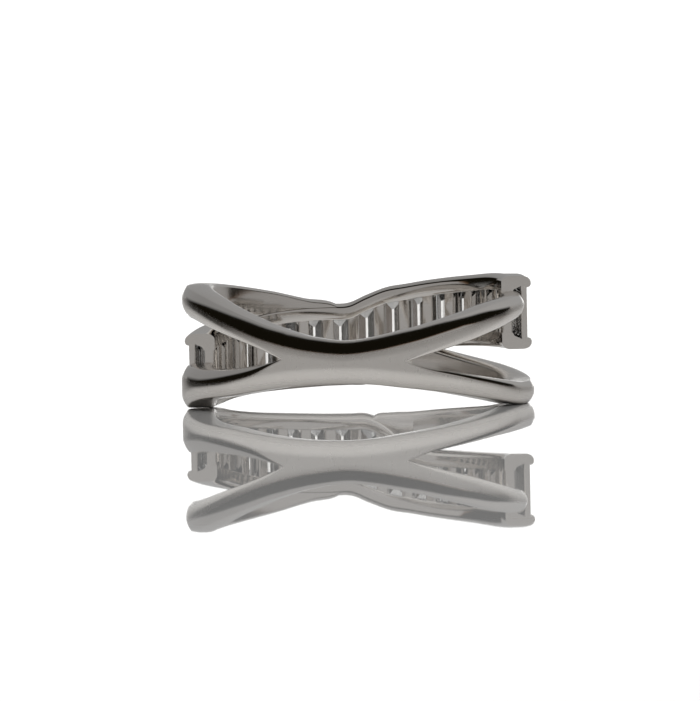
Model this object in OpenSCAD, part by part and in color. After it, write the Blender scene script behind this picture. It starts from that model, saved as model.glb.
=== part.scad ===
// Criss-cross finger ring: one plain strand and one channel-set strand cross at the front
// and again at the palm side, where they run together into one broad domed face.
// The finger's axis is Z, the palm side is at -Y and the stones are at +Y. The ring lies on Z = 0.

/* [Ring] */
// Diameter of the finger hole
bore_diameter = 17.3; // [17:0.1:17.6]
// Radius to the general crest of the plain strands
crest_radius = 10.45; // [10.4:0.01:10.5]
// Fall of a strand's domed face at its edge, for each millimetre of the rounding's width
edge_fall = 0.45; // [0.4:0.01:0.5]
// Bevel where the lower sides meet the finger hole
comfort_bevel = 0.22; // [0.15:0.01:0.24]
// How far a strand's upper side falls towards the finger hole
top_fall = 0.26; // [0.2:0.01:0.28]
// How far a strand's upper side falls towards its domed face
top_drop = 0.10; // [0:0.01:0.12]

/* [Channel] */
// Radius to the top of the two rails
rail_radius = 10.45; // [10.4:0.01:10.48]
// Thickness of a rail beside the stones
rail_thickness = 0.70; // [0.66:0.01:0.72]
// Width of a rail on the finger side, where its ledge carries the stones
ledge_width = 1.0; // [0.95:0.01:1.02]
// Width of the bars between the windows under the stones
bar_width = 0.7; // [0.5:0.05:0.8]

/* [Stones] */
// Azimuth of the first stone, counted from +X towards +Y
first_stone_azimuth = 20.1; // [20.1:0.1:20.4]
// Angle from one stone to the next
stone_pitch = 10.25; // [10.2:0.01:10.26]
// Width of a stone along the channel
stone_width = 1.74; // [1.6:0.01:1.75]
// Radius to the middle of the stones' girdles
girdle_radius = 9.925; // [9.91:0.005:9.93]
// Gap between a stone's end and the groove that holds it
setting_gap = 0.03; // [0.02:0.005:0.04]

/* [Hidden] */
STONES = 16;

bore_radius = bore_diameter / 2;
strand_inner_radius = bore_radius + 0.03;
bar_inner_radius = bore_radius + 0.06;
wall_foot_radius = bore_radius + 0.3;
crown_radius = bore_radius + 0.8;
step_angle = 3;
dome_rows = 8;

// Columns of the strands' tables: azimuth in degrees, heights of the lower and upper edge, how far
// the crest stands over the general crest radius, and the widths of the two edges' rounding
AZIMUTH = 0;
LOWER = 1;
UPPER = 2;
RISE = 3;
LOWER_ROUND = 4;
UPPER_ROUND = 5;

// The two crotches where the strands part again on either side of the broad palm face
crotch_left = 249.4;
crotch_right = 289.9;

palm_face = [
    [crotch_left, 1.50, 4.76, 0, 1.00, 1.32],
    [258, 1.60, 4.43, 0, 1.00, 1.27],
    [270, 1.65, 4.18, 0, 1.00, 1.22],
    [280, 1.56, 4.36, 0, 1.00, 1.25],
    [crotch_right, 1.34, 4.70, 0, 1.00, 1.30]
];

// Height of the line between the crotches
crotch_line = [
    [crotch_left, 3.13],
    [crotch_right, 2.89]
];

// From the right crotch along the lower right, across the front and round to the left crotch
plain_strand = [
    [-70.1, 1.34, 2.89, 0, 1.00, 0],
    [-62, 1.17, 2.51, 0, 0.96, 0.24],
    [-53, 0.95, 2.24, 0, 0.92, 0.38],
    [-35, 0.47, 1.79, 0, 0.82, 0.54],
    [-20, 0.12, 1.49, -0.02, 0.75, 0.62],
    [-10, 0.00, 1.42, -0.03, 0.75, 0.65],
    [6, 0.00, 1.50, -0.03, 0.75, 0.65],
    [19, 0.06, 1.74, -0.04, 0.75, 0.65],
    [35, 0.33, 2.16, -0.05, 0.75, 0.65],
    [50, 0.49, 2.56, -0.05, 0.75, 0.65],
    [62, 0.62, 2.97, -0.05, 0.75, 0.68],
    [75, 0.79, 3.51, -0.05, 0.75, 0.72],
    [84, 0.84, 3.91, -0.05, 0.75, 0.74],
    [90, 1.05, 4.30, -0.05, 0.75, 0.75],
    [104, 3.79, 5.90, -0.05, 0.80, 0.75],
    [115, 4.30, 6.23, -0.03, 0.85, 0.75],
    [130, 4.85, 6.76, 0, 0.90, 0.75],
    [149, 5.37, 7.19, 0.03, 0.92, 0.75],
    [168, 5.56, 7.42, 0.06, 0.95, 0.78],
    [185, 5.49, 7.44, 0.08, 0.95, 0.82],
    [200, 5.37, 7.15, 0.06, 0.88, 0.95],
    [212, 5.05, 6.75, 0.03, 0.72, 1.08],
    [228, 4.39, 5.91, 0, 0.44, 1.22],
    [240, 3.76, 5.22, 0, 0.24, 1.30],
    [crotch_left, 3.13, 4.76, 0, 0, 1.32]
];

// The channel strand's two bare arms, each from the channel's end to a crotch
lower_left_arm = [
    [179.4, 0.00, 2.49, -0.08, 0.75, 0.90],
    [185, 0.04, 2.68, 0.16, 0.75, 0.95],
    [197, 0.42, 2.59, 0.17, 0.80, 1.10],
    [209, 0.70, 2.48, 0.10, 0.85, 1.20],
    [224, 0.92, 2.54, 0.05, 0.90, 1.10],
    [236, 1.20, 2.74, 0, 0.95, 0.82],
    [crotch_left, 1.50, 3.13, 0, 1.00, 0]
];

upper_right_arm = [
    [crotch_right, 2.89, 4.70, 0, 0, 1.30],
    [297, 3.22, 4.94, 0, 0.18, 1.28],
    [306, 3.62, 5.31, 0, 0.32, 1.22],
    [315, 3.98, 5.65, -0.05, 0.44, 1.14],
    [327, 4.48, 6.08, -0.15, 0.58, 1.02],
    [342, 4.92, 6.38, -0.35, 0.68, 0.88],
    [358, 5.19, 6.53, -0.50, 0.68, 0.78],
    [374.6, 5.38, 6.65, -0.58, 0.68, 0.78]
];

// The channel from its right end over the front to its left end
channel_start = 11.9;
channel_end = 182.2;
channel_strand = [
    [channel_start, 3.13, 7.51],
    [20, 3.15, 7.64],
    [32, 3.20, 7.66],
    [45, 3.22, 7.54],
    [57, 3.18, 7.40],
    [67, 3.08, 7.23],
    [76, 2.70, 7.02],
    [84, 1.55, 6.82],
    [92, 0.90, 6.36],
    [99, 0.86, 5.90],
    [107, 0.84, 5.88],
    [116, 0.78, 5.85],
    [126, 0.70, 5.75],
    [138, 0.58, 5.54],
    [152, 0.36, 5.14],
    [164, 0.10, 4.83],
    [173, 0.00, 4.61],
    [channel_end, 0.00, 4.42]
];

// One rail's outline: radius, and distance from the channel's outer side
rail_outline = [
    [bore_radius, comfort_bevel],
    [wall_foot_radius, 0],
    [rail_radius - 0.42, 0],
    [rail_radius - 0.16, 0.10],
    [rail_radius - 0.03, 0.28],
    [rail_radius, rail_thickness - 0.22],
    [rail_radius - 0.08, rail_thickness - 0.06],
    [rail_radius - 0.24, rail_thickness],
    [girdle_radius + 0.155, rail_thickness],
    [girdle_radius + 0.095, rail_thickness - 0.10],
    [girdle_radius - 0.065, rail_thickness - 0.10],
    [girdle_radius - 0.525, ledge_width - 0.20],
    [girdle_radius - 0.625, ledge_width],
    [bore_radius, ledge_width]
];
rail_caps = [[2, 3, 4, 5, 6, 7, 8, 9, 10], [0, 1, 2, 10, 11, 12, 13]];
groove_depth = rail_thickness - 0.10;

// A stone's steps from keel to table: height over the girdle's middle, inset at sides, inset at ends
stone_steps = [
    [-0.795, 0.80, 0.75],
    [-0.375, 0.32, 0.25],
    [-0.025, 0.00, 0.00],
    [0.025, 0.00, 0.00],
    [0.175, 0.12, 0.14],
    [0.275, 0.30, 0.38]
];

// Share to which the upper side is shaped along the palm face and the strands that carry it on: the
// palm's own stays nearly flat
flat_middle = 260;
flat_reach = 20;
flat_fade = 25;
least_shaping = 0.15;
function top_shaping(azimuth) =
    min(1, max(least_shaping, (abs(azimuth - flat_middle) - flat_reach) / flat_fade));

// Smooth curve through a table's column, with its slope at each row taken from the rows beside it
function row_under(table, azimuth, i = 0) =
    i >= len(table) - 2 || azimuth < table[i + 1][AZIMUTH] ? i : row_under(table, azimuth, i + 1);
function slope_at(table, i, column) =
    let (before = table[max(i - 1, 0)], after = table[min(i + 1, len(table) - 1)])
    (after[column] - before[column]) / (after[AZIMUTH] - before[AZIMUTH]);
function curve(table, azimuth, column) =
    let (
        i = row_under(table, azimuth),
        span = table[i + 1][AZIMUTH] - table[i][AZIMUTH],
        t = (azimuth - table[i][AZIMUTH]) / span,
        rise_a = slope_at(table, i, column) * span,
        rise_b = slope_at(table, i + 1, column) * span
    )
    (2 * pow(t, 3) - 3 * pow(t, 2) + 1) * table[i][column]
    + (pow(t, 3) - 2 * pow(t, 2) + t) * rise_a
    + (3 * pow(t, 2) - 2 * pow(t, 3)) * table[i + 1][column]
    + (pow(t, 3) - pow(t, 2)) * rise_b;

// No edge reaches below the plane that the ring lies on
function lower_edge(table, azimuth) = max(0, curve(table, azimuth, LOWER));

// A point, rounded to a ten-thousandth of a millimetre
function at(radius, azimuth, height) =
    [for (v = [radius * cos(azimuth), radius * sin(azimuth), height]) round(v * 10000) / 10000];

// Evenly spaced azimuths, ends included
function azimuths(first, last) =
    let (n = ceil((last - first) / step_angle))
    [for (i = [0 : n]) first + (last - first) * i / n];

// How far one edge's rounding takes the surface below the crest at a distance from that edge
function rounding(distance, width) =
    width < 0.01 ? 0 : edge_fall * width * pow(max(0, 1 - distance / width), 2);

// Radius of a strand's face at a height between its edges
function face_radius(table, azimuth, height) =
    crest_radius + curve(table, azimuth, RISE)
    - rounding(height - lower_edge(table, azimuth), curve(table, azimuth, LOWER_ROUND))
    - rounding(curve(table, azimuth, UPPER) - height, curve(table, azimuth, UPPER_ROUND));

// Rows lie closer together towards both edges
function row_share(row) = (1 - cos(180 * row / dome_rows)) / 2;

// Loop of points round one arm: its dome from lower to upper edge, the crown of its upper side and
// its inner corners. The shares, from 0 to 1, say how far its two sides are shaped
function arm_loop(table, azimuth, lower_shaping, upper_shaping) =
    let (
        lower = lower_edge(table, azimuth),
        upper = curve(table, azimuth, UPPER),
        face_top = upper - top_drop * upper_shaping
    )
    concat(
        [for (row = [0 : dome_rows])
            let (height = lower + (face_top - lower) * row_share(row))
            at(face_radius(table, azimuth, height), azimuth, height)],
        [
            at(crown_radius, azimuth, upper),
            at(strand_inner_radius, azimuth, upper - top_fall * upper_shaping),
            at(strand_inner_radius, azimuth, lower + comfort_bevel * lower_shaping),
            at(wall_foot_radius, azimuth, lower)
        ]
    );

// Loop of points round the palm face, which takes both arms' rows
function palm_loop(azimuth) =
    let (
        lower = curve(palm_face, azimuth, LOWER),
        upper = curve(palm_face, azimuth, UPPER),
        face_top = upper - top_drop * top_shaping(azimuth),
        middle = curve(crotch_line, azimuth, LOWER)
    )
    concat(
        [for (row = [0 : 2 * dome_rows])
            let (height = row < dome_rows
                ? lower + (middle - lower) * row_share(row)
                : middle + (face_top - middle) * row_share(row - dome_rows))
            at(face_radius(palm_face, azimuth, height), azimuth, height)],
        [
            at(crown_radius, azimuth, upper),
            at(strand_inner_radius, azimuth, upper - top_fall * top_shaping(azimuth)),
            at(strand_inner_radius, azimuth, middle),
            at(strand_inner_radius, azimuth, lower + comfort_bevel),
            at(wall_foot_radius, azimuth, lower)
        ]
    );

// Corner numbers of a palm loop that belong to the upper and to the lower arm; the last number
// given is the wall corner in the crotch, which only the arms have
function upper_share(base, crotch_corner) =
    concat([for (row = [dome_rows : 2 * dome_rows + 3]) base + row], [crotch_corner]);
function lower_share(base, crotch_corner) =
    concat(
        [for (row = [0 : dome_rows]) base + row],
        [crotch_corner],
        [for (corner = [2 * dome_rows + 3 : 2 * dome_rows + 5]) base + corner]
    );
function numbers(base, count) = [for (i = [0 : count - 1]) base + i];

// Triangles between two loops with the same number of points, and the cap of one loop
function skin(a, b) =
    [for (i = [0 : len(a) - 1])
        let (next = (i + 1) % len(a))
        for (face = [[a[i], a[next], b[next]], [a[i], b[next], b[i]]]) face];
function skins(loops) =
    [for (i = [0 : len(loops) - 2]) each skin(loops[i], loops[i + 1])];
function reversed(list) = [for (i = [len(list) - 1 : -1 : 0]) list[i]];

// The same face seen from its other side, still starting at the same corner
function turned(face) = concat([face[0]], reversed([for (i = [1 : len(face) - 1]) face[i]]));

// A solid swept through closed loops of points. Each flat end is covered by the caps, which list
// a loop's corners so that every cap's first corner sees all its others
module swept(loops, caps) {
    size = len(loops[0]);
    rings = [for (i = [0 : len(loops) - 1]) numbers(i * size, size)];
    last_ring = rings[len(rings) - 1];
    polyhedron(
        points = [for (loop = loops) each loop],
        faces = concat(
            skins(rings),
            [for (cap = caps) turned([for (corner = cap) rings[0][corner]])],
            [for (cap = caps) [for (corner = cap) last_ring[corner]]]
        )
    );
}

// Shaping of an arm's side beside a crotch, which starts from nothing at the crotch
function fading(azimuth, crotch) = min(1, abs(azimuth - crotch) / 8);

// All of the plain metal as one surface: palm face, plain strand and the channel's two bare arms
module strands() {
    palm_azimuths = azimuths(crotch_left, crotch_right);
    palm_size = 2 * dome_rows + 6;
    arm_size = dome_rows + 5;
    palm_points = [for (a = palm_azimuths) each palm_loop(a)];
    corners = [
        at(wall_foot_radius, crotch_left, crotch_line[0][LOWER]),
        at(wall_foot_radius, crotch_right, crotch_line[1][LOWER])
    ];
    plain_all = azimuths(crotch_right - 360, crotch_left);
    plain_azimuths = [for (i = [1 : len(plain_all) - 2]) plain_all[i]];
    plain_points = [for (a = plain_azimuths)
        each arm_loop(plain_strand, a, fading(a, crotch_left),
            fading(a, crotch_right - 360) * top_shaping(a))];
    left_all = azimuths(lower_left_arm[0][AZIMUTH], crotch_left);
    left_azimuths = [for (i = [0 : len(left_all) - 2]) left_all[i]];
    left_points = [for (a = left_azimuths)
        each arm_loop(lower_left_arm, a, 1, fading(a, crotch_left))];
    right_all = azimuths(crotch_right, upper_right_arm[len(upper_right_arm) - 1][AZIMUTH]);
    right_azimuths = [for (i = [1 : len(right_all) - 1]) right_all[i]];
    right_points = [for (a = right_azimuths)
        each arm_loop(upper_right_arm, a, fading(a, crotch_right), top_shaping(a))];

    corner_base = len(palm_points);
    plain_base = corner_base + len(corners);
    left_base = plain_base + len(plain_points);
    right_base = left_base + len(left_points);
    palm_last = (len(palm_azimuths) - 1) * palm_size;
    palm_loops = [for (i = [0 : len(palm_azimuths) - 1]) numbers(i * palm_size, palm_size)];
    plain_loops = concat(
        [lower_share(palm_last, corner_base + 1)],
        [for (i = [0 : len(plain_azimuths) - 1]) numbers(plain_base + i * arm_size, arm_size)],
        [upper_share(0, corner_base)]
    );
    left_loops = concat(
        [for (i = [0 : len(left_azimuths) - 1]) numbers(left_base + i * arm_size, arm_size)],
        [lower_share(0, corner_base)]
    );
    right_loops = concat(
        [upper_share(palm_last, corner_base + 1)],
        [for (i = [0 : len(right_azimuths) - 1]) numbers(right_base + i * arm_size, arm_size)]
    );
    polyhedron(
        points = concat(palm_points, corners, plain_points, left_points, right_points),
        faces = concat(
            skins(palm_loops),
            skins(plain_loops),
            skins(left_loops),
            skins(right_loops),
            [turned(left_loops[0])],
            [right_loops[len(right_loops) - 1]]
        )
    );
}

// One rail of the channel; side is 1 for the upper rail and -1 for the lower one
module rail(side) {
    last = len(rail_outline) - 1;
    outline = side > 0 ? reversed(rail_outline) : rail_outline;
    caps = side > 0 ? [for (cap = rail_caps) turned([for (corner = cap) last - corner])] : rail_caps;
    loops = [for (a = azimuths(channel_start, channel_end))
        let (edge = side > 0 ? curve(channel_strand, a, UPPER) : lower_edge(channel_strand, a))
        [for (corner = outline) at(corner[0], a, edge - side * corner[1])]];
    swept(loops, caps);
}

// The room between the rails, kept clear where the plain strand meets them
module channel_room() {
    inside = 0.3;
    loops = [for (a = azimuths(48, 162))
        let (
            lower = curve(channel_strand, a, LOWER) + inside,
            upper = curve(channel_strand, a, UPPER) - inside
        )
        [
            at(bore_radius - 1, a, lower),
            at(crest_radius + 1, a, lower),
            at(crest_radius + 1, a, upper),
            at(bore_radius - 1, a, upper)
        ]];
    swept(loops, [numbers(0, 4)]);
}

// A straight bar from rail to rail, between two radii, sunk into both rails
module cross_bar(azimuth, from_radius, to_radius, width, sunk) {
    lower = curve(channel_strand, azimuth, LOWER) + sunk;
    upper = curve(channel_strand, azimuth, UPPER) - sunk;
    rotate([0, 0, azimuth])
        translate([from_radius, -width / 2, lower])
            cube([to_radius - from_radius, width, upper - lower]);
}

module window_bars() {
    bar_top = girdle_radius - 0.645;
    sunk = ledge_width - 0.25;
    for (i = [0 : STONES])
        cross_bar(first_stone_azimuth + (i - 0.5) * stone_pitch, bar_inner_radius, bar_top, bar_width, sunk);
}

// The short bars over the channel's open ends, which stop the end stones
module end_bars() {
    end_width = 0.48;
    end_offset = stone_pitch / 2 + 1.55;
    foot_radius = girdle_radius - 0.12;
    top_radius = rail_radius - 0.25;
    sunk = 0.3;
    last_stone_azimuth = first_stone_azimuth + (STONES - 1) * stone_pitch;
    for (azimuth = [first_stone_azimuth - end_offset, last_stone_azimuth + end_offset])
        cross_bar(azimuth, foot_radius, top_radius, end_width, sunk);
}

module band() {
    color("silver")
        union() {
            difference() {
                strands();
                channel_room();
            }
            rail(1);
            rail(-1);
            window_bars();
            end_bars();
        }
}

// Height of a stone's end at one side, clear of the groove along its whole width
function end_height(azimuth, side_azimuth, column, sign) =
    let (
        half = stone_pitch / 2,
        here = curve(channel_strand, azimuth, column),
        before = curve(channel_strand, azimuth - half, column),
        after = curve(channel_strand, azimuth + half, column),
        chord = (before + after) / 2,
        bulge = max(0, sign * (chord - here))
    )
    curve(channel_strand, side_azimuth, column) - sign * (groove_depth + setting_gap + bulge);

// A step-cut baguette: flat facets between four-sided rings, from the keel up to the table
module baguette(azimuth) {
    half = stone_width / 2;
    turn = atan(half / girdle_radius);
    corners = [
        [-half, end_height(azimuth, azimuth - turn, LOWER, -1)],
        [half, end_height(azimuth, azimuth + turn, LOWER, -1)],
        [half, end_height(azimuth, azimuth + turn, UPPER, 1)],
        [-half, end_height(azimuth, azimuth - turn, UPPER, 1)]
    ];
    lower_slope = (corners[1][1] - corners[0][1]) / stone_width;
    upper_slope = (corners[2][1] - corners[3][1]) / stone_width;
    rings = [for (step = stone_steps)
        let (side = half - step[1])
        [
            [-side, corners[0][1] + step[2] + lower_slope * step[1]],
            [side, corners[1][1] + step[2] - lower_slope * step[1]],
            [side, corners[2][1] - step[2] - upper_slope * step[1]],
            [-side, corners[3][1] - step[2] + upper_slope * step[1]]
        ]];
    loops = [for (i = [0 : len(stone_steps) - 1])
        [for (corner = reversed(rings[i])) [girdle_radius + stone_steps[i][0], corner[0], corner[1]]]];
    rotate([0, 0, azimuth])
        swept(loops, [numbers(0, 4)]);
}

module stone(number) {
    color("white")
        baguette(first_stone_azimuth + (number - 1) * stone_pitch);
}

band();
stone(1);  // stone_01
stone(2);  // stone_02
stone(3);  // stone_03
stone(4);  // stone_04
stone(5);  // stone_05
stone(6);  // stone_06
stone(7);  // stone_07
stone(8);  // stone_08
stone(9);  // stone_09
stone(10);  // stone_10
stone(11);  // stone_11
stone(12);  // stone_12
stone(13);  // stone_13
stone(14);  // stone_14
stone(15);  // stone_15
stone(16);  // stone_16
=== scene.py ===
import math

import bmesh
import bpy
from mathutils import Matrix, Quaternion, Vector


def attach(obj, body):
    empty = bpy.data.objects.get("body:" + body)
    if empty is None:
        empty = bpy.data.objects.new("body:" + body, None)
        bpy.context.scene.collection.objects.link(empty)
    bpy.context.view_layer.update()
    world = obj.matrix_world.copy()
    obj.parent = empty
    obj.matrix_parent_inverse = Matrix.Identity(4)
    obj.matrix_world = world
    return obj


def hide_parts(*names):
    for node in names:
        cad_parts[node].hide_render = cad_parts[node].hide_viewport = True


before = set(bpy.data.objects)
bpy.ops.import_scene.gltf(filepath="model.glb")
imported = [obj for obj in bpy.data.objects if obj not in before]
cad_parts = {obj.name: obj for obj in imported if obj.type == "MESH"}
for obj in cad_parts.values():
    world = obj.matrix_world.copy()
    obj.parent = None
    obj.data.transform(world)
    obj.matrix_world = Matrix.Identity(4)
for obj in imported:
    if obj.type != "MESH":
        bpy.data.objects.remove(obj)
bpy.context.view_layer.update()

# Sizes, as in the part, in millimetres and degrees. Radii are counted from the finger's axis:
# the finger hole's, the strands' inner side, the foot of their lower side, and their crest
BORE = 8.65
STRAND_INNER = BORE + 0.03
WALL_FOOT = BORE + 0.3
CREST = 10.45
# Fall of a strand's domed face at its edge, for each millimetre of the rounding's width
EDGE_FALL = 0.45
# Bevel where the lower sides meet the finger hole
BEVEL = 0.22
# A strand's upper side: its highest radius, its fall to the finger hole, and to the domed face
CROWN = BORE + 0.8
TOP_FALL = 0.26
TOP_DROP = 0.10
# The small fillet under a strand's face: its radius, and how far the face has turned down there
LIP = 0.16
LIP_START = 40
# The rails' top, their thickness beside the stones, and their width on the finger side
RAIL = 10.45
RAIL_THICK = 0.70
LEDGE = 1.0
# The first stone's azimuth, the angle from one stone to the next, and the radius of their girdles
FIRST_STONE = 20.1
PITCH = 10.25
GIRDLE = 9.925
STONES = 16
# The bars under the gaps between the stones
BAR_INNER, BAR_OUTER = BORE + 0.06, GIRDLE - 0.645
BAR_WIDTH, BAR_SUNK, BAR_ROUNDING = 0.7, LEDGE - 0.25, 0.08
# The two short bars over the channel's ends, and their angle from the middle of the end stones
END_BAR_INNER, END_BAR_OUTER = GIRDLE - 0.12, RAIL - 0.25
END_BAR_WIDTH, END_BAR_SUNK, END_BAR_ROUNDING = 0.48, 0.3, 0.1
END_BAR_ANGLE = PITCH / 2 + 1.55

# Columns: azimuth, heights of the lower and upper edge, how far the crest stands over CREST, and the
# widths of the two edges' rounding
AZIMUTH, LOWER, UPPER, RISE, LOWER_ROUND, UPPER_ROUND = range(6)
# The two crotches, where the strands part on either side of the palm face
CROTCH_LEFT, CROTCH_RIGHT = 249.4, 289.9
PALM = [
    (CROTCH_LEFT, 1.50, 4.76, 0, 1.00, 1.32),
    (258, 1.60, 4.43, 0, 1.00, 1.27),
    (270, 1.65, 4.18, 0, 1.00, 1.22),
    (280, 1.56, 4.36, 0, 1.00, 1.25),
    (CROTCH_RIGHT, 1.34, 4.70, 0, 1.00, 1.30),
]
CROTCH_LINE = [(CROTCH_LEFT, 3.13), (CROTCH_RIGHT, 2.89)]
PLAIN = [
    (-70.1, 1.34, 2.89, 0, 1.00, 0),
    (-62, 1.17, 2.51, 0, 0.96, 0.24),
    (-53, 0.95, 2.24, 0, 0.92, 0.38),
    (-35, 0.47, 1.79, 0, 0.82, 0.54),
    (-20, 0.12, 1.49, -0.02, 0.75, 0.62),
    (-10, 0.00, 1.42, -0.03, 0.75, 0.65),
    (6, 0.00, 1.50, -0.03, 0.75, 0.65),
    (19, 0.06, 1.74, -0.04, 0.75, 0.65),
    (35, 0.33, 2.16, -0.05, 0.75, 0.65),
    (50, 0.49, 2.56, -0.05, 0.75, 0.65),
    (62, 0.62, 2.97, -0.05, 0.75, 0.68),
    (75, 0.79, 3.51, -0.05, 0.75, 0.72),
    (84, 0.84, 3.91, -0.05, 0.75, 0.74),
    (90, 1.05, 4.30, -0.05, 0.75, 0.75),
    (104, 3.79, 5.90, -0.05, 0.80, 0.75),
    (115, 4.30, 6.23, -0.03, 0.85, 0.75),
    (130, 4.85, 6.76, 0, 0.90, 0.75),
    (149, 5.37, 7.19, 0.03, 0.92, 0.75),
    (168, 5.56, 7.42, 0.06, 0.95, 0.78),
    (185, 5.49, 7.44, 0.08, 0.95, 0.82),
    (200, 5.37, 7.15, 0.06, 0.88, 0.95),
    (212, 5.05, 6.75, 0.03, 0.72, 1.08),
    (228, 4.39, 5.91, 0, 0.44, 1.22),
    (240, 3.76, 5.22, 0, 0.24, 1.30),
    (CROTCH_LEFT, 3.13, 4.76, 0, 0, 1.32),
]
LEFT_ARM = [
    (179.4, 0.00, 2.49, -0.08, 0.75, 0.90),
    (185, 0.04, 2.68, 0.16, 0.75, 0.95),
    (197, 0.42, 2.59, 0.17, 0.80, 1.10),
    (209, 0.70, 2.48, 0.10, 0.85, 1.20),
    (224, 0.92, 2.54, 0.05, 0.90, 1.10),
    (236, 1.20, 2.74, 0, 0.95, 0.82),
    (CROTCH_LEFT, 1.50, 3.13, 0, 1.00, 0),
]
RIGHT_ARM = [
    (CROTCH_RIGHT, 2.89, 4.70, 0, 0, 1.30),
    (297, 3.22, 4.94, 0, 0.18, 1.28),
    (306, 3.62, 5.31, 0, 0.32, 1.22),
    (315, 3.98, 5.65, -0.05, 0.44, 1.14),
    (327, 4.48, 6.08, -0.15, 0.58, 1.02),
    (342, 4.92, 6.38, -0.35, 0.68, 0.88),
    (358, 5.19, 6.53, -0.50, 0.68, 0.78),
    (374.6, 5.38, 6.65, -0.58, 0.68, 0.78),
]
CHANNEL_START, CHANNEL_END = 11.9, 182.2
CHANNEL = [
    (CHANNEL_START, 3.13, 7.51),
    (20, 3.15, 7.64),
    (32, 3.20, 7.66),
    (45, 3.22, 7.54),
    (57, 3.18, 7.40),
    (67, 3.08, 7.23),
    (76, 2.70, 7.02),
    (84, 1.55, 6.82),
    (92, 0.90, 6.36),
    (99, 0.86, 5.90),
    (107, 0.84, 5.88),
    (116, 0.78, 5.85),
    (126, 0.70, 5.75),
    (138, 0.58, 5.54),
    (152, 0.36, 5.14),
    (164, 0.10, 4.83),
    (173, 0.00, 4.61),
    (CHANNEL_END, 0.00, 4.42),
]
# A rail's outline: radius, distance from the channel's outer side, rounding of that corner
RAIL_OUTLINE = [
    (BORE, BEVEL, 0.14),
    (WALL_FOOT, 0, 0.16),
    (RAIL - 0.42, 0, 0.14),
    (RAIL - 0.16, 0.10, 0.10),
    (RAIL - 0.03, 0.28, 0.08),
    (RAIL, RAIL_THICK - 0.22, 0.07),
    (RAIL - 0.08, RAIL_THICK - 0.06, 0.05),
    (RAIL - 0.24, RAIL_THICK, 0.05),
    (GIRDLE + 0.155, RAIL_THICK, 0.02),
    (GIRDLE + 0.095, RAIL_THICK - 0.10, 0.01),
    (GIRDLE - 0.065, RAIL_THICK - 0.10, 0.01),
    (GIRDLE - 0.525, LEDGE - 0.20, 0.03),
    (GIRDLE - 0.625, LEDGE, 0.03),
    (BORE, LEDGE, 0.06),
]

# Fineness of the surfaces: degrees from loop to loop, and rows over an arm's face
STEP = 0.75
ROWS = 28
# A strand's side: shares of the way over its top, degrees round the fillet and round the finger's edge
TOP_SHARES = (0.25, 0.5, 0.75)
LIP_DEGREES = (57, 73, 90)
EDGE_DEGREES = range(0, 91, 15)
SIDE = len(TOP_SHARES) + len(EDGE_DEGREES)
# Beside a crotch a side takes shape over this angle, and the fillet keeps this share of its depth
CROTCH_FADE = 8
LEAST_LIP = 0.2
NARROWEST_ROUNDING = 0.01
# A rounded corner's curve: its points, and the greatest share of a side that it takes
CORNER_SHARES = (0, 0.25, 0.5, 0.75, 1)
MOST_OF_SIDE = 0.45
# The palm's upper side stays nearly flat round this azimuth
FLAT_MIDDLE, FLAT_REACH, FLAT_FADE, LEAST_SHAPING = 260, 20, 25, 0.15
# Shares of the two edges' rounding that stay polished, the way on which the brushing fades in, and
# how brushed the upper side is
POLISHED_BELOW, POLISHED_ABOVE, BRUSHED_FADE = 0.2, 0.6, 0.14
WORN_TOP = 0.6
# The room between the rails, which is cut out of the plain strand: its ends, how far it lies inside
# the channel's edges, and how far it reaches past the strand's faces
ROOM_START, ROOM_END, ROOM_INSET, ROOM_MARGIN = 48, 162, 0.3, 1
# Edges that turn further than this are shaded as sharp
SHARP_ANGLE = 38


def row_under(table, azimuth):
    """The row that starts the table's span round this azimuth."""
    for i in range(len(table) - 2):
        if azimuth < table[i + 1][AZIMUTH]:
            return i
    return len(table) - 2


def slope_at(table, i, column):
    before, after = table[max(i - 1, 0)], table[min(i + 1, len(table) - 1)]
    return (after[column] - before[column]) / (after[AZIMUTH] - before[AZIMUTH])


def curve(table, azimuth, column):
    """A smooth curve through a table's column."""
    i = row_under(table, azimuth)
    span = table[i + 1][AZIMUTH] - table[i][AZIMUTH]
    t = (azimuth - table[i][AZIMUTH]) / span
    rise_a = slope_at(table, i, column) * span
    rise_b = slope_at(table, i + 1, column) * span
    return (
        (2 * t**3 - 3 * t**2 + 1) * table[i][column]
        + (t**3 - 2 * t**2 + t) * rise_a
        + (3 * t**2 - 2 * t**3) * table[i + 1][column]
        + (t**3 - t**2) * rise_b
    )


def lower_edge(table, azimuth):
    return max(0.0, curve(table, azimuth, LOWER))


def at(radius, azimuth, height):
    """The point in metres that lies there."""
    a = math.radians(azimuth)
    return Vector((radius * math.cos(a), radius * math.sin(a), height)) / 1000


def azimuths(first, last):
    n = math.ceil((last - first) / STEP)
    return [first + (last - first) * i / n for i in range(n + 1)]


def rounding(distance, width):
    """How far the face has fallen at this distance from its edge."""
    if width < NARROWEST_ROUNDING:
        return 0.0
    return EDGE_FALL * width * max(0.0, 1 - distance / width) ** 2


def face_radius(table, azimuth, height):
    below = rounding(height - lower_edge(table, azimuth), curve(table, azimuth, LOWER_ROUND))
    above = rounding(curve(table, azimuth, UPPER) - height, curve(table, azimuth, UPPER_ROUND))
    return CREST + curve(table, azimuth, RISE) - below - above


def face_point(table, azimuth, height):
    """A point of a strand's face, with how far it lies within the brushed part."""
    below = height - lower_edge(table, azimuth) - POLISHED_BELOW * curve(table, azimuth, LOWER_ROUND)
    above = curve(table, azimuth, UPPER) - height - POLISHED_ABOVE * curve(table, azimuth, UPPER_ROUND)
    brushed = min(1.0, max(0.0, min(below, above) / BRUSHED_FADE))
    return at(face_radius(table, azimuth, height), azimuth, height), brushed


def row_share(row):
    """Share of the face's width under a row: the rows lie closer together towards both edges."""
    return (1 - math.cos(math.pi * row / ROWS)) / 2


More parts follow.
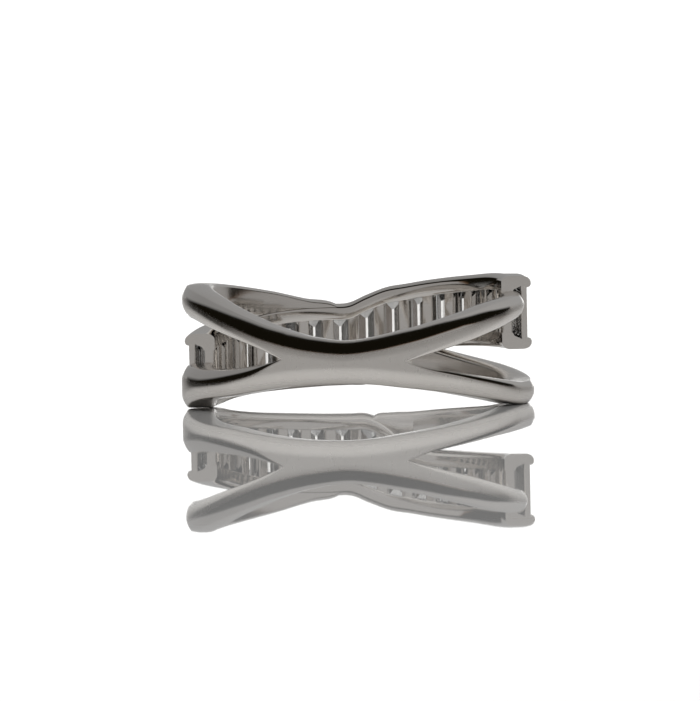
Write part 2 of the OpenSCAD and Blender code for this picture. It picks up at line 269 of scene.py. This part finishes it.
def top_shaping(azimuth):
    """Share to which a strand's upper side is shaped here."""
    return min(1.0, max(LEAST_SHAPING, (abs(azimuth - FLAT_MIDDLE) - FLAT_REACH) / FLAT_FADE))


def lip_height(shaping):
    return LIP * (1 - math.sin(math.radians(LIP_START))) * shaping


def strand_side(azimuth, outer, height, sign, shaping):
    """A strand's upper side (sign 1) or lower side (-1), from its face's end to the finger hole."""
    out = []
    if sign > 0:
        crest, fall = CROWN, TOP_FALL
        for share in TOP_SHARES:
            down = TOP_DROP * shaping * (1 - share) ** 2
            out.append((outer + (crest - outer) * share, height - down))
    else:
        crest, fall = WALL_FOOT, BEVEL
        start = math.radians(LIP_START)
        for degrees in LIP_DEGREES:
            turn = math.radians(degrees)
            inward = LIP * (math.cos(start) - math.cos(turn)) * max(shaping, LEAST_LIP)
            out.append((outer - inward, height + LIP * (1 - math.sin(turn)) * shaping))
    for degrees in EDGE_DEGREES:
        across, down = math.sin(math.radians(degrees)), 1 - math.cos(math.radians(degrees))
        out.append((crest - (crest - STRAND_INNER) * across, height - sign * fall * shaping * down))
    worn = WORN_TOP * shaping if sign > 0 else 0.0
    return [(at(radius, azimuth, z), worn) for radius, z in out]


def arm_loop(table, azimuth, lower_shaping, upper_shaping):
    """One loop round a single strand."""
    lower, upper = lower_edge(table, azimuth), curve(table, azimuth, UPPER)
    face_top = upper - TOP_DROP * upper_shaping
    face_foot = lower + lip_height(lower_shaping)
    loop = []
    for row in range(ROWS + 1):
        loop.append(face_point(table, azimuth, face_foot + (face_top - face_foot) * row_share(row)))
    top_radius = face_radius(table, azimuth, face_top)
    foot_radius = face_radius(table, azimuth, face_foot)
    loop += strand_side(azimuth, top_radius, upper, 1, upper_shaping)
    loop += reversed(strand_side(azimuth, foot_radius, lower, -1, lower_shaping))
    return loop


def palm_loop(azimuth):
    """One loop round the whole palm face, with rows of points on both sides of the crotches' line."""
    lower, upper = curve(PALM, azimuth, LOWER), curve(PALM, azimuth, UPPER)
    face_top = upper - TOP_DROP * top_shaping(azimuth)
    face_foot = lower + lip_height(1.0)
    middle = curve(CROTCH_LINE, azimuth, LOWER)
    loop = []
    for row in range(2 * ROWS + 1):
        if row < ROWS:
            height = face_foot + (middle - face_foot) * row_share(row)
        else:
            height = middle + (face_top - middle) * row_share(row - ROWS)
        loop.append(face_point(PALM, azimuth, height))
    top_radius = face_radius(PALM, azimuth, face_top)
    foot_radius = face_radius(PALM, azimuth, face_foot)
    loop += strand_side(azimuth, top_radius, upper, 1, top_shaping(azimuth))
    loop.append((at(STRAND_INNER, azimuth, middle), 0.0))
    loop += reversed(strand_side(azimuth, foot_radius, lower, -1, 1.0))
    return loop


def new_mesh(name, points, faces):
    """A mesh from (point, brushed share) pairs. The share is kept as an attribute for the material."""
    mesh = bpy.data.meshes.new(name)
    mesh.from_pydata([p for p, _ in points], [], faces)
    brushed = mesh.attributes.new("face_share", "FLOAT", "POINT")
    for i, (_, share) in enumerate(points):
        brushed.data[i].value = share
    mesh.update()
    return mesh


def new_object(name, mesh):
    obj = bpy.data.objects.new(name, mesh)
    bpy.context.scene.collection.objects.link(obj)
    return obj


def skins(loops):
    """The faces between loops of the same length, given as lists of point numbers."""
    faces = []
    for a, b in zip(loops, loops[1:]):
        for i in range(len(a)):
            j = (i + 1) % len(a)
            faces.append((a[i], b[i], b[j], a[j]))
    return faces


def numbers(base, count):
    return [base + i for i in range(count)]


def fading(azimuth, crotch):
    """Share to which the side that comes out of a crotch is shaped here."""
    return min(1.0, abs(azimuth - crotch) / CROTCH_FADE)


def strands_mesh():
    palm_azimuths = azimuths(CROTCH_LEFT, CROTCH_RIGHT)
    palm_size = 2 * ROWS + 1 + 2 * SIDE + 1
    points = []
    for a in palm_azimuths:
        points += palm_loop(a)
    palm_last = (len(palm_azimuths) - 1) * palm_size
    # In a crotch the arms have an inner corner of their own, which the palm face doesn't have
    corner_loops = []
    for which, base in ((0, 0), (1, palm_last)):
        crotch, middle = CROTCH_LINE[which]
        start = len(points)
        points += strand_side(crotch, face_radius(PALM, crotch, middle), middle, -1, 0.0)[:-1]
        corner_loops.append(numbers(start, SIDE - 1))

    def upper_share(base, corners):
        rows = [base + r for r in range(ROWS, 2 * ROWS + 1 + SIDE + 1)]
        return rows + corners[::-1]

    def lower_share(base, corners):
        rows = [base + r for r in range(ROWS + 1)]
        first = 2 * ROWS + 1 + SIDE
        return rows + corners + [base + first + i for i in range(SIDE + 1)]

    faces = skins([numbers(i * palm_size, palm_size) for i in range(len(palm_azimuths))])

    def arm(table, list_of_azimuths, lower_at, upper_at):
        loops = []
        for a in list_of_azimuths:
            base = len(points)
            loop = arm_loop(table, a, lower_at(a), upper_at(a))
            points.extend(loop)
            loops.append(numbers(base, len(loop)))
        return loops

    plain = arm(
        PLAIN, azimuths(CROTCH_RIGHT - 360, CROTCH_LEFT)[1:-1],
        lambda a: fading(a, CROTCH_LEFT), lambda a: fading(a, CROTCH_RIGHT - 360) * top_shaping(a),
    )
    faces += skins([lower_share(palm_last, corner_loops[1])] + plain + [upper_share(0, corner_loops[0])])
    left = arm(
        LEFT_ARM, azimuths(LEFT_ARM[0][0], CROTCH_LEFT)[:-1],
        lambda a: 1.0, lambda a: fading(a, CROTCH_LEFT),
    )
    faces += skins(left + [lower_share(0, corner_loops[0])])
    right = arm(
        RIGHT_ARM, azimuths(CROTCH_RIGHT, RIGHT_ARM[-1][0])[1:],
        lambda a: fading(a, CROTCH_RIGHT), top_shaping,
    )
    faces += skins([upper_share(palm_last, corner_loops[1])] + right)
    faces += [left[0][::-1], right[-1]]
    return new_mesh("strands", points, faces)


def swept_mesh(name, loops):
    size = len(loops[0])
    points = [(p, 0.0) for loop in loops for p in loop]
    rings = [numbers(i * size, size) for i in range(len(loops))]
    return new_mesh(name, points, skins(rings) + [rings[0][::-1], rings[-1]])


def rounded(outline):
    """The outline with every corner cut by a short curve of its own size."""
    out = []
    n = len(outline)
    for i in range(n):
        here, before, after = (Vector(outline[j][:2]) for j in (i, i - 1, (i + 1) % n))
        reach = outline[i][2]
        a = here + (before - here) * min(MOST_OF_SIDE, reach / (before - here).length)
        b = here + (after - here) * min(MOST_OF_SIDE, reach / (after - here).length)
        for t in CORNER_SHARES:
            out.append(a * (1 - t) ** 2 + here * 2 * t * (1 - t) + b * t**2)
    return out


def rail_mesh(side):
    """The upper rail (side 1) or the lower one (-1)."""
    outline = rounded(RAIL_OUTLINE)
    if side > 0:
        outline = outline[::-1]
    loops = []
    for a in azimuths(CHANNEL_START, CHANNEL_END):
        edge = curve(CHANNEL, a, UPPER) if side > 0 else lower_edge(CHANNEL, a)
        loops.append([at(p[0], a, edge - side * p[1]) for p in outline])
    return swept_mesh("rail", loops)


def room_mesh():
    loops = []
    inner, outer = BORE - ROOM_MARGIN, CREST + ROOM_MARGIN
    for a in azimuths(ROOM_START, ROOM_END):
        lower = curve(CHANNEL, a, LOWER) + ROOM_INSET
        upper = curve(CHANNEL, a, UPPER) - ROOM_INSET
        loops.append([
            at(inner, a, lower), at(outer, a, lower), at(outer, a, upper), at(inner, a, upper),
        ])
    return swept_mesh("room", loops)


def bar_mesh(azimuth, inner, outer, width, sunk, corner):
    lower, upper = curve(CHANNEL, azimuth, LOWER) + sunk, curve(CHANNEL, azimuth, UPPER) - sunk
    outline = rounded([
        (inner, -width / 2, corner), (outer, -width / 2, corner),
        (outer, width / 2, corner), (inner, width / 2, corner),
    ])
    turn = Matrix.Rotation(math.radians(azimuth), 3, "Z")
    loops = []
    for height in (lower, upper):
        loops.append([turn @ Vector((p[0], p[1], height)) / 1000 for p in outline])
    return swept_mesh("bar", loops)


def fix_outside(obj):
    bm = bmesh.new()
    bm.from_mesh(obj.data)
    bmesh.ops.recalc_face_normals(bm, faces=bm.faces)
    bm.to_mesh(obj.data)
    bm.free()


def cut(obj, tool):
    """Takes the tool's form out of the object, and removes the tool."""
    fix_outside(obj)
    fix_outside(tool)
    modifier = obj.modifiers.new("cut", "BOOLEAN")
    modifier.operation, modifier.solver, modifier.object = "DIFFERENCE", "EXACT", tool
    bpy.context.view_layer.update()
    done = bpy.data.meshes.new_from_object(obj.evaluated_get(bpy.context.evaluated_depsgraph_get()))
    obj.modifiers.clear()
    obj.data = done
    bpy.data.objects.remove(tool)


def joined(name, objects):
    bm = bmesh.new()
    for obj in objects:
        bm.from_mesh(obj.data)
    mesh = bpy.data.meshes.new(name)
    bm.to_mesh(mesh)
    bm.free()
    for obj in objects:
        bpy.data.objects.remove(obj)
    mesh.polygons.foreach_set("use_smooth", [True] * len(mesh.polygons))
    mesh.set_sharp_from_angle(angle=math.radians(SHARP_ANGLE))
    return new_object(name, mesh)


# The band
strands = new_object("strands", strands_mesh())
cut(strands, new_object("room", room_mesh()))
pieces = [strands, new_object("rail_upper", rail_mesh(1)), new_object("rail_lower", rail_mesh(-1))]
for i in range(STONES + 1):
    azimuth = FIRST_STONE + (i - 0.5) * PITCH
    bar = bar_mesh(azimuth, BAR_INNER, BAR_OUTER, BAR_WIDTH, BAR_SUNK, BAR_ROUNDING)
    pieces.append(new_object("bar", bar))
last_stone = FIRST_STONE + (STONES - 1) * PITCH
for azimuth in (FIRST_STONE - END_BAR_ANGLE, last_stone + END_BAR_ANGLE):
    bar = bar_mesh(
        azimuth, END_BAR_INNER, END_BAR_OUTER, END_BAR_WIDTH, END_BAR_SUNK, END_BAR_ROUNDING,
    )
    pieces.append(new_object("bar", bar))
for obj in pieces[1:]:
    fix_outside(obj)
band = joined("band_metal", pieces)


# Materials
class Nodes:
    """Adds nodes to one tree; a value that is an output is linked, any other is set."""

    def __init__(self, tree):
        self.tree = tree
        tree.nodes.clear()

    def add(self, kind, inputs=None, **settings):
        node = self.tree.nodes.new(kind)
        for key, value in settings.items():
            setattr(node, key, value)
        for key, value in (inputs or {}).items():
            self.put(node, key, value)
        return node

    def put(self, node, key, value):
        socket = node.inputs[key]
        if isinstance(value, bpy.types.NodeSocket):
            self.tree.links.new(value, socket)
        else:
            socket.default_value = value

    def math(self, operation, a, b=0.0, clamp=False):
        node = self.add("ShaderNodeMath", {0: a, 1: b}, operation=operation, use_clamp=clamp)
        return node.outputs[0]

    def ramp(self, value, stops):
        node = self.add("ShaderNodeValToRGB", {"Fac": value})
        elements = node.color_ramp.elements
        while len(elements) < len(stops):
            elements.new(1.0)
        for element, (position, colour) in zip(elements, stops):
            element.position = position
            element.color = (*colour, 1) if isinstance(colour, tuple) else (colour, colour, colour, 1)
        return node.outputs["Color"]

    def mix(self, share, a, b):
        node = self.add("ShaderNodeMix", data_type="RGBA")
        self.put(node, 0, share)
        self.put(node, 6, a)
        self.put(node, 7, b)
        return node.outputs[2]

    def between(self, share, a, b):
        node = self.add("ShaderNodeMix", data_type="FLOAT")
        self.put(node, 0, share)
        self.put(node, 2, a)
        self.put(node, 3, b)
        return node.outputs[0]

    def noise(self, place, scale, detail, roughness=0.5):
        inputs = {"Vector": place, "Scale": scale, "Detail": detail, "Roughness": roughness}
        return self.add("ShaderNodeTexNoise", inputs).outputs["Fac"]


def metal_material():
    material = bpy.data.materials.new("polished_silver")
    material.use_nodes = True
    n = Nodes(material.node_tree)
    place = n.add("ShaderNodeTexCoord").outputs["Object"]
    face = n.add("ShaderNodeAttribute", attribute_name="face_share").outputs["Fac"]
    # Hairline scratches run mostly along the finger's axis; the specks are tiny dents
    stretched = n.add("ShaderNodeMapping", {"Vector": place, "Scale": (9000, 9000, 1100)}).outputs[0]
    hair = n.noise(stretched, 1.0, 3.0, 0.6)
    specks = n.noise(place, 14000.0, 2.0)
    cloud = n.noise(place, 500.0, 3.0)
    colour = n.mix(cloud, (0.80, 0.765, 0.725, 1), (0.86, 0.83, 0.795, 1))
    satin = n.math("MULTIPLY", n.math("ADD", n.math("MULTIPLY", hair, 0.22), 0.13), face)
    gloss = n.math("ADD", n.math("MULTIPLY", cloud, 0.04), 0.05)
    roughness = n.math("ADD", satin, gloss)
    height = n.math("ADD", n.math("MULTIPLY", hair, 0.7), n.math("MULTIPLY", specks, 0.3))
    bump = n.add(
        "ShaderNodeBump",
        {"Height": height, "Strength": n.between(face, 0.03, 0.16), "Distance": 0.00004},
    ).outputs[0]
    shader = n.add(
        "ShaderNodeBsdfPrincipled",
        {"Base Color": colour, "Metallic": 1.0, "Roughness": roughness, "Normal": bump},
    )
    n.add("ShaderNodeOutputMaterial", {"Surface": shader.outputs[0]})
    return material


def stone_material():
    material = bpy.data.materials.new("clear_stone")
    material.use_nodes = True
    n = Nodes(material.node_tree)
    place = n.add("ShaderNodeTexCoord").outputs["Object"]
    veil = n.noise(place, 900.0, 2.0)
    roughness = n.math("ADD", n.math("MULTIPLY", veil, 0.05), 0.06)
    colour = n.mix(veil, (0.80, 0.79, 0.775, 1), (0.90, 0.89, 0.875, 1))
    shader = n.add(
        "ShaderNodeBsdfPrincipled",
        {"Base Color": colour, "Roughness": roughness, "IOR": 2.15, "Transmission Weight": 1.0},
    )
    n.add("ShaderNodeOutputMaterial", {"Surface": shader.outputs[0]})
    return material


def floor_material():
    material = bpy.data.materials.new("pale_acrylic")
    material.use_nodes = True
    n = Nodes(material.node_tree)
    place = n.add("ShaderNodeTexCoord").outputs["Object"]
    haze = n.noise(place, 60.0, 3.0)
    roughness = n.math("ADD", n.math("MULTIPLY", haze, 0.01), 0.006)
    shader = n.add(
        "ShaderNodeBsdfPrincipled",
        {"Base Color": (0.86, 0.86, 0.855, 1), "Roughness": roughness, "IOR": 1.5},
    )
    n.add("ShaderNodeOutputMaterial", {"Surface": shader.outputs[0]})
    return material


metal, stone = metal_material(), stone_material()
band.data.materials.clear()
band.data.materials.append(metal)
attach(band, "root")
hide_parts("band")
for name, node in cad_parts.items():
    node.data.materials.clear()
    node.data.materials.append(metal if name == "band" else stone)
    if name != "band":
        node.data.polygons.foreach_set("use_smooth", [False] * len(node.data.polygons))

# Floor, camera and light
FLOOR_RADIUS = 4.0
FLOOR_SEGMENTS = 96
FLOOR_BELOW = 0.00001
floor_mesh = bpy.data.meshes.new("floor")
bm = bmesh.new()
bmesh.ops.create_circle(bm, cap_ends=True, segments=FLOOR_SEGMENTS, radius=FLOOR_RADIUS)
bm.to_mesh(floor_mesh)
bm.free()
floor = new_object("floor", floor_mesh)
floor.location.z = -FLOOR_BELOW
floor.data.materials.append(floor_material())

CAMERA_AZIMUTH = math.radians(275)
CAMERA_ELEVATION = math.radians(2.35)
CAMERA_ROLL = math.radians(-1.09)
CAMERA_DISTANCE = 0.400
SENSOR_WIDTH = 36
NEAREST, FARTHEST = 0.01, 20
# The photograph in pixels: its longer side, its middle, the focal length and the origin's place
PHOTO_SIDE = 701
PHOTO_MIDDLE = (350, 350.5)
FOCAL_LENGTH = 6689
ORIGIN_AT = (360.2, 405)
towards_camera = Vector((
    math.cos(CAMERA_AZIMUTH) * math.cos(CAMERA_ELEVATION),
    math.sin(CAMERA_AZIMUTH) * math.cos(CAMERA_ELEVATION),
    math.sin(CAMERA_ELEVATION),
))
camera_data = bpy.data.cameras.new("camera")
camera = bpy.data.objects.new("camera", camera_data)
bpy.context.scene.collection.objects.link(camera)
camera.location = towards_camera * CAMERA_DISTANCE
camera.rotation_mode = "QUATERNION"
level = (-towards_camera).to_track_quat("-Z", "Y")
camera.rotation_quaternion = level @ Quaternion((0, 0, 1), CAMERA_ROLL)
camera_data.sensor_width = SENSOR_WIDTH
camera_data.lens = FOCAL_LENGTH * SENSOR_WIDTH / PHOTO_SIDE
camera_data.shift_x = (PHOTO_MIDDLE[0] - ORIGIN_AT[0]) / PHOTO_SIDE
camera_data.shift_y = (ORIGIN_AT[1] - PHOTO_MIDDLE[1]) / PHOTO_SIDE
camera_data.clip_start, camera_data.clip_end = NEAREST, FARTHEST
bpy.context.scene.camera = camera

# The studio leans a little about the axis that points to the camera's right
STUDIO_LEAN = math.radians(2.15)
# The white screen that the metal mirrors, and what the camera sees beyond the floor
SCREEN_LIGHT = (1.32, 1.32, 1.31, 1)
BEYOND_FLOOR = (1.1, 1.1, 1.1, 1)
# The walls' top: how far it is lowered, how much higher it stands at the right, and its sharpness
WALL_LOWERED, WALL_TILT, WALL_SHARPNESS = 0.25, 0.12, 9.0
# The wide light's level, and how much brighter it is at the right
SKY_LEVEL, SKY_TILT = 0.31, 0.09
world = bpy.data.worlds.new("studio")
bpy.context.scene.world = world
world.use_nodes = True
n = Nodes(world.node_tree)
looked_up = n.add("ShaderNodeTexCoord").outputs["Generated"]
leaning = n.add("ShaderNodeVectorRotate", {"Vector": looked_up, "Angle": STUDIO_LEAN})
leaning.inputs["Axis"].default_value = (-math.sin(CAMERA_AZIMUTH), math.cos(CAMERA_AZIMUTH), 0)
direction = n.add("ShaderNodeSeparateXYZ", {0: leaning.outputs[0]}).outputs
up = direction[2]


def towards(azimuth_degrees, elevation_degrees):
    """How far the looked-up direction points this way; 0 lies behind the ring, 90 at its right."""
    azimuth = CAMERA_AZIMUTH + math.pi - math.radians(azimuth_degrees)
    elevation = math.radians(elevation_degrees)
    x = n.math("MULTIPLY", direction[0], math.cos(elevation) * math.cos(azimuth))
    y = n.math("MULTIPLY", direction[1], math.cos(elevation) * math.sin(azimuth))
    return n.math("ADD", n.math("ADD", x, y), n.math("MULTIPLY", up, math.sin(elevation)))


# A dark room over grey walls, whose top comes lower and lower towards the back
front = n.math("ADD", n.math("MULTIPLY", towards(180, 0), 0.5), 0.5)
wall_top = n.ramp(front, [
    (0.0, 0.20), (0.25, 0.20), (0.425, 0.38), (0.5, 0.44), (0.575, 0.63),
    (0.62, 0.71), (0.675, 0.73), (0.8, 0.80), (0.925, 0.78), (1.0, 0.78),
])
wall_top = n.math("SUBTRACT", wall_top, WALL_LOWERED)
wall_top = n.math("ADD", wall_top, n.math("MULTIPLY", towards(90, 0), WALL_TILT))
# Behind the ring, a little to the right, stands a higher wall
back_wall = n.ramp(towards(9, 0), [(0.0, 0.0), (0.72, 0.0), (0.80, 0.45), (1.0, 0.45)])
wall_top = n.math("ADD", wall_top, back_wall)
above_wall = n.math("MULTIPLY", n.math("SUBTRACT", up, wall_top), WALL_SHARPNESS)
over = n.math("ADD", above_wall, 0.5, clamp=True)
room = n.ramp(over, [
    (0.0, (0.31, 0.305, 0.30)), (0.5, (0.10, 0.06, 0.035)),
    (0.75, (0.008, 0.006, 0.003)), (1.0, (0.006, 0.005, 0.003)),
])
# A wide soft light above and behind, a little brighter at the right
edge = n.ramp(towards(0, 55), [(0.0, 0.0), (0.60, 0.0), (0.665, 1.0), (1.0, 1.0)])
sky = n.math("ADD", n.math("MULTIPLY", towards(90, 0), SKY_TILT), SKY_LEVEL)
studio = n.mix(edge, room, sky)
# One white screen low behind the ring
across = n.ramp(towards(0, 0), [(0.0, 0.0), (0.955, 0.0), (0.985, 1.0), (1.0, 1.0)])
below_top = n.ramp(up, [(0.0, 1.0), (0.12, 1.0), (0.18, 0.0), (1.0, 0.0)])
screen = n.math("MULTIPLY", across, below_top)
studio = n.mix(screen, studio, SCREEN_LIGHT)
seen = n.add("ShaderNodeLightPath").outputs["Is Camera Ray"]
shown = n.mix(seen, studio, BEYOND_FLOOR)
background = n.add("ShaderNodeBackground", {"Color": shown, "Strength": 1.0})
n.add("ShaderNodeOutputWorld", {"Surface": background.outputs[0]})


def soft_light(name, place, size, energy):
    """An area light that lights the floor but isn't mirrored in the metal."""
    data = bpy.data.lights.new(name, "AREA")
    data.shape, data.size, data.energy = "DISK", size, energy
    light = bpy.data.objects.new(name, data)
    light.location = place
    light.rotation_mode = "QUATERNION"
    light.rotation_quaternion = (-Vector(place)).to_track_quat("-Z", "Y")
    light.visible_glossy = False
    light.visible_camera = False
    bpy.context.scene.collection.objects.link(light)


soft_light("soft_top", place=(0.0, -0.1, 1.0), size=1.2, energy=7.0)

view = bpy.context.scene.view_settings
view.view_transform = "Standard"
view.look = "None"
view.exposure = 0.0
